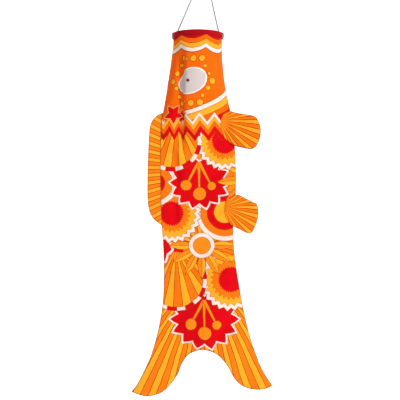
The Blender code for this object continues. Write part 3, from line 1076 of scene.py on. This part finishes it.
def hang(c, every):
    """Lets a flank's cloth find its own creases between the seams that hold it."""
    x, y, d, side = c["x"], c["y"], c["d"], c["side"]
    rows, columns = x.shape
    row_at = np.unique(np.append(np.arange(0, rows, every), rows - 1))
    column_at = np.arange(0, columns, every)
    pick = np.ix_(row_at, column_at)
    start = np.stack([x[pick], y[pick], -d[pick]], -1) * MM
    pins = np.zeros(x[pick].shape)
    pins[:, 0] = pins[:, -1] = 1.0
    pins[-1, :] = 1.0
    pins[d[pick] < 17.0] = 1.0
    end = settled(start, pins, 0.014, 26, 0.6, "hanging")
    moved = (end - start) / MM
    size = np.linalg.norm(moved, axis=-1, keepdims=True)
    moved *= np.minimum(1.0, 7.0 / np.maximum(size, 1e-9))
    # its wide part is kept taut by the hoop, so the print stays open there
    moved *= (0.4 + 0.6 * smooth(220, 330, d[pick]))[..., None]
    moved = spread_out(moved, rows, columns, row_at, column_at)
    moved[0, :] = moved[-1, :] = 0.0
    moved[:, 0] = moved[:, -1] = 0.0
    middle = sway(x, d)
    c["x"] = x + moved[..., 0]
    c["d"] = d - moved[..., 2]
    room = np.minimum(side * (y - middle), 0.9)
    c["y"] = middle + side * np.maximum(side * (y + moved[..., 1] - middle), room)


STEP = 2.6
COLUMNS = 84
cloth = {}
for side, word in ((-1, "near"), (1, "far")):
    ds, x, d, y, cut, shares = flank_grid(side, STEP, COLUMNS)
    n = normals_of(x, y, d)
    n *= np.sign(n[..., 1:2] * side + 1e-9)
    bump = puckers(x, d, shares, side)
    x, y, d = x + n[..., 0] * bump, y + n[..., 1] * bump, d - n[..., 2] * bump
    cloth[word] = dict(ds=ds, x=x, y=y, d=d, cut=cut, side=side, shares=shares)
    hang(cloth[word], 2)


def flank_piece(word, name, rows):
    c = cloth[word]
    x, y, d, cut = (c[k][rows] for k in ("x", "y", "d", "cut"))
    points = np.stack(
        [(MOUTH_X + x) * MM, y * MM, (MOUTH_Z - d) * MM], -1
    ).reshape(-1, 3)
    obj = mesh_object(
        name,
        points,
        grid_faces(x.shape[0], x.shape[1], flip=c["side"] > 0),
        cut.reshape(-1, 2) * MM,
        (PRINT, PRINT_BACK),
    )
    return thicken(obj, 0.5)


split = int(np.argmin(np.abs(cloth["near"]["ds"] - SPLIT_D)))
for word in ("near", "far"):
    upper = flank_piece(word, word + "_flank_upper_cloth", slice(0, split + 1))
    lower = flank_piece(word, word + "_flank_lower_cloth", slice(split, None))
    fish(0, FLEX_UPPER_D - 42)
    fish(0, FLEX_UPPER_D + 42)
    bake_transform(upper)
    fish(0, FLEX_LOWER_D - 42)
    fish(0, FLEX_LOWER_D + 42)
    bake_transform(lower)
    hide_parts(word + "_flank_upper", word + "_flank_middle")
    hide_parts(word + "_flank_tail")


# ------------------------------------------------------------------ the hem
def hem():
    w = HEM_HALF_W
    profile = [(1.0, HEM_DEPTH), (1.55, HEM_DEPTH + 0.1), (2.1, HEM_DEPTH - 0.6)]
    profile += [(2.9, HEM_DEPTH - 3.2), (w, HEM_DEPTH - 6.5)]
    profile += [
        (w * math.cos(math.pi * k / 14), HOOP_D - w * math.sin(math.pi * k / 14))
        for k in range(15)
    ]
    profile += [(-w, HEM_DEPTH - 6.5), (-2.9, HEM_DEPTH - 3.2)]
    profile += [(-2.1, HEM_DEPTH - 0.6), (-1.55, HEM_DEPTH + 0.1), (-1.0, HEM_DEPTH)]
    profile = np.array(profile + [(-0.5, HEM_DEPTH - 1.5), (0.5, HEM_DEPTH - 1.5)])
    steps = 300
    a = np.linspace(0, 2 * math.pi, steps, endpoint=False)
    rows = []
    for k, ang in enumerate(a):
        around = ang * TUBE_R
        c, s = math.cos(ang), math.sin(ang)
        row = []
        for out, d in profile:
            low = max(0.0, (d - HOOP_D) / (HEM_DEPTH - HOOP_D))
            gather = noise.noise(Vector((c * 16.0, s * 16.0, out * 0.16)))
            slant = noise.noise(Vector((c * 34.0 + d * 0.16, s * 34.0, 4.0 + out * 0.1)))
            swell = 1.0 + 0.10 * noise.noise(Vector((c * 2.2, s * 2.2, 9.0)))
            grow = 0.45 * gather * low + 0.35 * slant
            r = TUBE_R + out * swell + math.copysign(grow, out)
            dd = d + 0.5 * noise.noise(Vector((c * 5.0, s * 5.0, 2.0))) * low
            row.append((r * c, dd, r * s))
        rows.append(row)
    rows = np.array(rows)
    points = np.stack(
        [
            (MOUTH_X + rows[..., 0]) * MM,
            rows[..., 2] * MM,
            (MOUTH_Z - rows[..., 1]) * MM,
        ],
        -1,
    ).reshape(-1, 3)
    obj = mesh_object(
        "mouth_hem",
        points,
        grid_faces(steps, len(profile), False, True, True),
        None,
        (HEM,),
    )
    bm = bmesh.new()
    bm.from_mesh(obj.data)
    bmesh.ops.recalc_face_normals(bm, faces=bm.faces)
    bm.to_mesh(obj.data)
    bm.free()
    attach(obj, "front")
    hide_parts("mouth_binding")
    return obj


hem_piece = hem()


def stitch_row(name, places, outs, alongs, radius, long, material):
    """Short thread stitches, each a small capsule lying on the cloth."""
    bm = bmesh.new()
    for at, out, along in zip(places, outs, alongs):
        along = Vector(along).normalized()
        out = Vector(out).normalized()
        across = along.cross(out).normalized()
        out = across.cross(along)
        frame_of = Matrix((across, out, along)).transposed().to_4x4()
        frame_of.translation = Vector(at)
        made = bmesh.ops.create_icosphere(bm, subdivisions=1, radius=1.0)["verts"]
        for v in made:
            bend = v.co.z
            v.co = Vector(
                (
                    v.co.x * radius * 1.15,
                    v.co.y * radius * 0.8 - radius * 0.5 * bend * bend,
                    v.co.z * long / 2,
                )
            )
            v.co = frame_of @ v.co
    data = bpy.data.meshes.new(name)
    bm.to_mesh(data)
    bm.free()
    data.materials.append(material)
    data.shade_smooth()
    return linked(bpy.data.objects.new(name, data))


count = 118
places, outs, alongs = [], [], []
for i in range(count):
    a = 2 * math.pi * (i + 0.5) / count
    if min(abs(a), abs(a - math.pi), abs(a - 2 * math.pi)) < 0.05:
        continue
    c, s = math.cos(a), math.sin(a)
    for inside in (1, -1):
        at = fish((TUBE_R + inside * 2.75) * c, 11.0, (TUBE_R + inside * 2.75) * s)
        places.append(at)
        outs.append((inside * c, inside * s, 0.1))
        alongs.append((-s, c, 0))
stitches = stitch_row(
    "hem_stitching", places, outs, alongs, 0.42 * MM, 2.7 * MM, RED_THREAD
)
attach(stitches, "front")


# ------------------------------------------------------------------ fins
def fan_mesh(outline, spacing):
    """An even mesh inside a closed outline of (x, d) points: points, faces."""
    low, high = outline.min(0), outline.max(0)
    xs = np.arange(low[0], high[0], spacing)
    ys = np.arange(low[1], high[1], spacing * 0.87)
    inner = []
    seg_a, seg_b = outline, np.roll(outline, -1, 0)
    for k, yy in enumerate(ys):
        for xx in xs + (spacing / 2 if k % 2 else 0):
            p = np.array((xx, yy))
            ab = seg_b - seg_a
            t = np.clip(((p - seg_a) * ab).sum(1) / (ab**2).sum(1), 0, 1)
            dist = np.linalg.norm(seg_a + ab * t[:, None] - p, axis=1).min()
            cross = ((seg_a[:, 1] > yy) != (seg_b[:, 1] > yy)) & (
                xx
                < (seg_b[:, 0] - seg_a[:, 0])
                * (yy - seg_a[:, 1])
                / (seg_b[:, 1] - seg_a[:, 1] + 1e-12)
                + seg_a[:, 0]
            )
            if cross.sum() % 2 and dist > spacing * 0.55:
                inner.append((xx, yy))
    n = len(outline)
    pts = [Vector(p) for p in outline] + [Vector(p) for p in inner]
    edges = [(i, (i + 1) % n) for i in range(n)]
    verts, _, faces, *_ = delaunay_2d_cdt(pts, edges, [], 1, 1e-6)
    return np.array([(v.x, v.y) for v in verts]), faces


def surface_y(side, x, d):
    """Where a flank's outer face is, at a place seen from its side."""
    word = "near" if side < 0 else "far"
    c = cloth[word]
    i = int(np.clip(np.searchsorted(c["ds"], d), 1, len(c["ds"]) - 1))
    t = (d - c["ds"][i - 1]) / (c["ds"][i] - c["ds"][i - 1])
    a = np.interp(x, c["x"][i - 1], c["y"][i - 1])
    b = np.interp(x, c["x"][i], c["y"][i])
    return a + (b - a) * t


def fin(name, base_edge, free_edge, hinge, hinge_y, side, materials, wave, body,
        spacing, blend_from, blend_to):
    """A sewn-on fin. base_edge is the sewn line on the flank, free_edge the rest of the
    outline, both (x, d) from top to bottom; the fin follows the flank along base_edge and
    the CAD fin's plane further out."""
    base = curve_through(base_edge, 10)
    free = curve_through(free_edge, 10)
    outline = np.vstack([base, free[::-1]])
    run = run_of(np.vstack([outline, outline[:1]]))
    outline = respaced(np.vstack([outline, outline[:1]]), int(run[-1] / spacing))[:-1]
    pts, faces = fan_mesh(outline, spacing)
    (x0, d0), (x1, d1) = hinge
    y0, y1 = (side * v for v in hinge_y)
    down = np.array((x1 - x0, y1 - y0, d1 - d0), float)
    long = down / np.linalg.norm(down)
    across = np.array((1.0, 0.0, 0.0))
    across = across - long * (across @ long)
    across /= np.linalg.norm(across)
    out = []
    det = across[0] * long[2] - across[2] * long[0]
    for x, d in pts:
        fx, fd = x - x0, d - d0
        u = (fx * long[2] - fd * long[0]) / det
        v = (across[0] * fd - across[2] * fx) / det
        plane_y = y0 + across[1] * u + long[1] * v
        off = abs(u)
        w = float(smooth(-4.0, 26.0, u) if side else smooth(-3.0, 17.0, off))
        if side:
            on = surface_y(side, x, d) + side * 1.1
        else:
            on = float(sway(x, d))
        ripple = wave(u, v)
        y = on * (1 - w) + (plane_y + float(ripple)) * w
        if side:
            # never into the flank behind it
            inside_flank = back_side(d) < x < belly_side(d)
            if inside_flank:
                y = side * max(side * y, side * on)
        out.append((x, d, y))
    out = np.array(out)
    points = np.stack(
        [(MOUTH_X + out[:, 0]) * MM, out[:, 2] * MM, (MOUTH_Z - out[:, 1]) * MM], 1
    )
    probe = faces[0]
    a, b, c = (points[i] for i in probe[:3])
    facing = np.cross(b - a, c - a)[1]
    if (facing > 0) == (side <= 0):
        faces = [tuple(f)[::-1] for f in faces]
    obj = mesh_object(name, points, faces, pts * MM, materials)
    thicken(obj, 0.9, back=0, offset=0.0)
    # an overlocked edge round the part that is not sewn down
    n_edge = len(outline)
    is_free = np.array(
        [
            np.linalg.norm(free - p, axis=1).min() < np.linalg.norm(base - p, axis=1).min()
            for p in outline
        ]
    )
    loop = [i for i in range(n_edge) if is_free[i]]
    start = next((k for k in range(len(loop)) if loop[k] - loop[k - 1] != 1), 0)
    loop = loop[start:] + loop[:start]
    line = points[: len(outline)][loop]
    line = respaced(line, int(run_of(line)[-1] / (1.1 * MM)))
    edge = tube_mesh(
        name + "_edge", line, 0.85 * MM, 8, (EDGE,), lobes=2, twist=2 * math.pi / 0.0036,
        depth=0.22,
    )
    for piece in (obj, edge):
        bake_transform(piece)
    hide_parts(body)
    return obj, edge, pts


def hinge_span(hinge, hinge_y, side, before, after):
    (x0, d0), (x1, d1) = hinge
    a = fish(x0, d0, side * hinge_y[0])
    b = fish(x1, d1, side * hinge_y[1])
    down = (b - a).normalized()
    across = Vector((1, 0, 0))
    across = (across - down * across.dot(down)).normalized()
    middle = (a + b) / 2
    return middle + across * before * MM, middle + across * after * MM


PECTORAL_HINGE, PECTORAL_Y = ((66, 234), (83, 300)), (22.5, 13.5)
PELVIC_HINGE, PELVIC_Y = ((79, 462), (85, 524)), (8.6, 8.6)
DORSAL_HINGE = ((-105.6, 228), (-105.6, 524))
SPACING = 3.0

dorsal_base = [(float(back_side(v)) + 1.0, v) for v in np.linspace(219, 530, 14)]
dorsal_free = [
    (float(back_side(219)) + 1.0, 219),
    (-108, 225),
    (-123, 238),
    (-131, 257),
    (-133.5, 280),
    (-135.5, 320),
    (-137.5, 370),
    (-138, 420),
    (-137.5, 460),
    (-134, 486),
    (-128, 501),
    (-118, 515),
    (float(back_side(530)) + 1.0, 530),
]
fins = {}
fins["dorsal_fin"] = fin(
    "dorsal_fin_cloth",
    dorsal_base,
    dorsal_free,
    DORSAL_HINGE,
    (0.0, 0.0),
    0,
    (DORSAL,),
    lambda u, v: float(sway(-105.6 + u, 228 + v)) + 1.6 * math.sin(v / 19.0) * min(1, abs(u) / 25),
    "dorsal_fin",
    SPACING,
    fish(-101, 376),
    fish(-117, 376),
)
for side, word in ((-1, "near"), (1, "far")):
    a, b = hinge_span(PECTORAL_HINGE, PECTORAL_Y, side, -1.0, 17.0)
    fins["pectoral_fin_" + word] = fin(
        "pectoral_fin_" + word + "_cloth",
        ((70, 226), (65, 236), (62.5, 250), (63.5, 264), (68, 279), (76, 291), (88, 301.5)),
        (
            (70, 226),
            (76, 220.5),
            (88, 217.5),
            (99, 220.5),
            (122, 225),
            (146, 228.5),
            (159, 235),
            (167, 248),
            (171.5, 264),
            (171.5, 281),
            (166.5, 299),
            (159.5, 312),
            (149, 318),
            (138, 317.5),
            (120, 313.5),
            (103, 309),
            (88, 301.5),
        ),
        PECTORAL_HINGE,
        PECTORAL_Y,
        side,
        (PECTORAL,),
        lambda u, v: 2.2 * math.sin(v / 9.5 + u / 60.0) * min(1.0, max(0.0, u) / 60.0),
        "pectoral_fin_" + word,
        SPACING,
        a,
        b,
    )
    a, b = hinge_span(PELVIC_HINGE, PELVIC_Y, side, -1.0, 15.0)
    fins["pelvic_fin_" + word] = fin(
        "pelvic_fin_" + word + "_cloth",
        ((81, 458), (77, 467), (74.5, 480), (74.5, 496), (78, 510), (85, 521), (94, 530)),
        (
            (81, 458),
            (93, 451),
            (108, 446),
            (120, 450),
            (135, 458),
            (149, 465.5),
            (160, 470),
            (164.5, 481),
            (166, 500),
            (161.5, 521),
            (155, 537),
            (149.5, 547),
            (141, 551.5),
            (127, 546),
            (109, 537),
            (94, 530),
        ),
        PELVIC_HINGE,
        PELVIC_Y,
        side,
        (PELVIC,),
        lambda u, v: 1.8 * math.sin(v / 8.5 + 1.0) * min(1.0, max(0.0, u) / 60.0),
        "pelvic_fin_" + word,
        SPACING,
        a,
        b,
    )
for name, (obj, edge, pts) in fins.items():
    spread = pts.max(0) - pts.min(0)


# ------------------------------------------------------------------ the forked end's edge
for side, word in ((-1, "near"), (1, "far")):
    c = cloth[word]
    x, y, d = c["x"][-1], c["y"][-1], c["d"][-1]
    line = np.stack([(MOUTH_X + x) * MM, (y - side * 0.25) * MM, (MOUTH_Z - d) * MM], 1)
    line = respaced(line, int(run_of(line)[-1] / (1.2 * MM)))
    edge = tube_mesh(
        word + "_tail_edge", line, 0.95 * MM, 8, (END_EDGE,), lobes=2,
        twist=2 * math.pi / 0.0036, depth=0.22,
    )
    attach(edge, "tail")


# ------------------------------------------------------------------ seams
def seam(name, column, rows, bodies, at):
    """The overlocked seam that joins the two flanks along the back or the belly."""
    a, b = cloth["near"], cloth["far"]
    line = []
    for i in rows:
        p = np.array((a["x"][i, column], a["y"][i, column], a["d"][i, column]))
        q = np.array((b["x"][i, column], b["y"][i, column], b["d"][i, column]))
        line.append((p + q) / 2)
    line = np.array(line)
    line[:, 0] += -0.2 if column == 0 else 0.2
    pts = np.stack(
        [(MOUTH_X + line[:, 0]) * MM, line[:, 1] * MM, (MOUTH_Z - line[:, 2]) * MM], 1
    )
    pts = respaced(pts, int(run_of(pts)[-1] / (1.2 * MM)))
    obj = tube_mesh(
        name, pts, 0.95 * MM, 8, (EDGE,), lobes=2, twist=2 * math.pi / 0.0036, depth=0.22
    )
    fish(0, at - 42)
    fish(0, at + 42)
    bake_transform(obj)
    return obj


rows_total = cloth["near"]["x"].shape[0]
first_row = int(np.searchsorted(cloth["near"]["ds"], HEM_DEPTH + 1.4))
for column, word in ((0, "back"), (-1, "belly")):
    seam(word + "_seam_upper", column, range(first_row, split + 1), ("front", "middle"),
         FLEX_UPPER_D)
    seam(word + "_seam_lower", column, range(split, rows_total), ("middle", "tail"),
         FLEX_LOWER_D)


# ------------------------------------------------------------------ cords
APEX = np.array((0.0, 0.0, -0.026))
TWIST = 2 * math.pi / 0.0105


def leg_line(side):
    low = np.array(fish(side * 59.4, HOOP_D))
    along = (APEX - low) / np.linalg.norm(APEX - low)
    start = low + along * 1.2 * MM
    end = APEX - along * 3.0 * MM
    t = np.linspace(0, 1, 240)[:, None]
    inwards = np.array((-side, 0.0, 0.0))
    return start + (end - start) * t + inwards * (1.2 * MM * 4 * t * (1 - t))


cord_pieces = []
for side, word in ((-1, "left"), (1, "right")):
    line = leg_line(side)
    leg = tube_mesh(
        "bridle_leg_" + word, line, 2.0 * MM, 18, (CORD,), lobes=3, twist=TWIST,
        depth=0.1
    )
    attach(leg, "bridle")
    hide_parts("bridle_cord_" + word)
    [tuple(p) for p in line[::6]] + [tuple(line[-1])]


def wound_knot(name, place, axis, turns, radius, cord_r, tall):
    """Turns of cord wound tightly round the others: a bridle's stopper knot."""
    axis = np.array(Vector(axis).normalized())
    side_of = np.cross(axis, (0.0, 1.0, 0.0))
    side_of /= np.linalg.norm(side_of)
    other = np.cross(axis, side_of)
    t = np.linspace(0, 1, int(turns * 40))
    a = 2 * math.pi * turns * t
    rise = (t - 0.5) * tall
    swell = radius * (0.82 + 0.18 * np.sin(math.pi * t))
    line = (
        np.array(place)
        + side_of * (swell * np.cos(a))[:, None]
        + other * (swell * np.sin(a))[:, None]
        + axis * rise[:, None]
    )
    # its two ends tuck back into the middle
    tuck = np.clip(np.minimum(t, 1 - t) / 0.07, 0, 1)[:, None]
    centre = np.array(place) + axis * (rise * 0.7)[:, None]
    line = centre + (line - centre) * (0.25 + 0.75 * tuck)
    return tube_mesh(
        name, line, cord_r, 12, (CORD,), lobes=3, twist=2 * math.pi / 0.007, depth=0.14
    )


knot = wound_knot("bridle_knot", APEX, (0, 0, 1), 3.6, 3.1 * MM, 1.45 * MM, 8.4 * MM)
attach(knot, "bridle")
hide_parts("apex_knot")

loop_line = []
loop_low, loop_high, loop_half = -25.0, 1.5, 6.6
for i in range(120):
    a = 2 * math.pi * i / 120
    high = 0.5 * (1 - math.cos(a))
    loop_line.append(
        (
            loop_half * math.sin(a) * (0.28 + 0.72 * high**0.8) * MM,
            0.35 * math.sin(2 * a) * MM,
            (loop_low + (loop_high - loop_low) * high) * MM,
        )
    )
loop = tube_mesh(
    "hook_loop", loop_line, CORD_R * MM, 16, (CORD,), lobes=3, twist=TWIST, closed=True
)
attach(loop, "bridle")
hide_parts("hanging_loop")


def hitch(name, side):
    """The end of a leg: a red loop of two turns round the hem, and a knot inside the mouth."""
    wide = HEM_HALF_W + 0.35 + 1.2
    foot = 0.4 + 0.6 + 0.9 + 0.35 + 1.1
    made = []
    for k, (along, cord_r) in enumerate(((-1.25, 1.15), (1.25, 1.15))):
        half = [
            (wide * math.cos(a), HOOP_D - wide * math.sin(a))
            for a in np.linspace(0, math.pi, 14)
        ]
        lower = [
            (-foot * math.cos(a), HEM_DEPTH + 0.2 + 2.35 * math.sin(a))
            for a in np.linspace(0, math.pi, 8)
        ]
        ring = half + [(-wide + 0.1, HEM_DEPTH - 5.0)] + lower + [(wide - 0.1, HEM_DEPTH - 5.0)]
        p = np.array(ring)
        pull = np.clip((p[:, 1] - HEM_DEPTH) / 2.4, 0, 1)
        line = np.array(
            [
                fish(side * (TUBE_R + o), d, along * (1 - 0.9 * q))
                for (o, d), q in zip(ring, pull)
            ]
        )
        line = curve_through(list(line) + [line[0]], 4)[:-1]
        made.append(
            tube_mesh(
                f"{name}_{k}", line, cord_r * MM, 10, (CORD,), lobes=3,
                twist=2 * math.pi / 0.007, closed=True, depth=0.14,
            )
        )
    made.append(
        wound_knot(
            name + "_k",
            np.array(fish(side * 59.6, HOOP_D + 0.4)),
            (side * 0.25, 0, -1),
            2.4,
            1.5 * MM,
            1.1 * MM,
            3.6 * MM,
        )
    )
    obj = joined(name, made, (LOOP, CORD), (0, 0, 1))
    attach(obj, "front")
    return obj


for side, word in ((-1, "left"), (1, "right")):
    h = hitch("hem_hitch_" + word, side)
    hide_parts("cord_hitch_" + word)

for name, material in (("mouth_hoop", HOOP), ("hoop_ferrule", FERRULE)):
    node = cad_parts[name]
    for s in node.material_slots:
        s.link = "OBJECT"
        s.material = material


# ------------------------------------------------------------------ stage and light
def backdrop():
    """A plain pale floor that curves up into a wall behind the streamer."""
    rows = [(-12.0, 0.0)]
    rows += [(3.0 + 1.6 * math.sin(a), 1.6 - 1.6 * math.cos(a)) for a in np.linspace(0, math.pi / 2, 18)]
    rows += [(4.6, 7.0)]
    floor_z = -1.62
    points = [(x, y, floor_z + z) for y, z in rows for x in (-16.0, 16.0)]
    faces = [(2 * i, 2 * i + 1, 2 * i + 3, 2 * i + 2) for i in range(len(rows) - 1)]
    obj = mesh_object("backdrop", points, faces)
    m = bpy.data.materials.new("backdrop_paper")
    m.use_nodes = True
    shader = m.node_tree.nodes["Principled BSDF"]
    shader.inputs["Base Color"].default_value = (0.93, 0.93, 0.93, 1)
    shader.inputs["Roughness"].default_value = 0.9
    obj.data.materials.append(m)
    return obj


backdrop()


def lamp(name, place, target, size, power, colour=(1, 1, 1)):
    data = bpy.data.lights.new(name, "AREA")
    data.shape = "SQUARE"
    data.size = size
    data.energy = power
    data.color = colour
    obj = linked(bpy.data.objects.new(name, data))
    obj.location = place
    obj.rotation_euler = (
        (Vector(target) - Vector(place)).to_track_quat("-Z", "Y").to_euler()
    )
    return obj


lamp("key", (2.3, -2.6, 0.6), (0, 0, -0.62), 0.8, 104)
lamp("fill", (-1.5, -3.2, -0.3), (0, 0, -0.65), 1.6, 24)
lamp("wall_wash", (0.0, 1.1, 2.3), (0, 3.9, -1.1), 3.2, 190)
world = bpy.data.worlds.new("world")
sc.world = world
world.use_nodes = True
world.node_tree.nodes["Background"].inputs[0].default_value = (1.0, 0.995, 0.985, 1)
world.node_tree.nodes["Background"].inputs[1].default_value = 0.26
